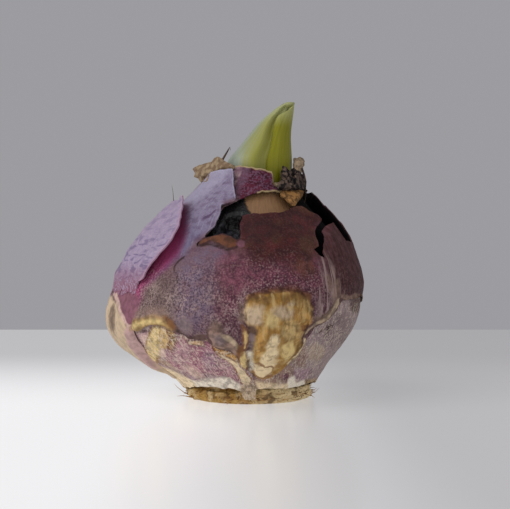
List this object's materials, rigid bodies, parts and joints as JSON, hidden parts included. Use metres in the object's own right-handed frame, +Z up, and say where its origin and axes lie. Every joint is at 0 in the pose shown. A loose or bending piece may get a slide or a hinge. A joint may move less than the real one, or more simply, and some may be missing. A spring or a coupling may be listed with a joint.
{
  "type": "sprouting hyacinth bulb",
  "caption": "Sprouting hyacinth bulb in torn purple papery skins, with a green shoot at its neck and a corky base.",
  "frame": {"origin": "middle of the basal plate's flat underside, on the surface that the bulb stands on", "axes": "+Z up along the bulb towards the shoot's tip, -Y the front as pictured, +X to the right of it"},
  "size_m": [0.0584, 0.0567, 0.0675],
  "materials": {
    "cork": "rough corky root plate, tan to dark brown",
    "flesh": "smooth dried outer scale, tan with dark stains",
    "inner_skin": "papery, pink-purple mottled with cream",
    "outer_skin": "papery, maroon to grey-purple with pale flecks, satin",
    "lilac_skin": "thin papery lilac skin, satin",
    "leaf": "smooth waxy green, faint ribs",
    "tan_shreds": "dry frayed tan",
    "dark_shreds": "dry crumpled, near black"
  },
  "bodies": {
    "root": {"basal_plate": "cork", "fleshy_scales": "flesh", "inner_tunic": "inner_skin", "outer_tunic": "outer_skin", "outer_flap": "lilac_skin", "leaf_back": "leaf", "leaf_front": "leaf", "leaf_inner": "leaf", "neck_shreds_left": "tan_shreds", "neck_shreds_right": "dark_shreds"}
  },
  "joints": []
}
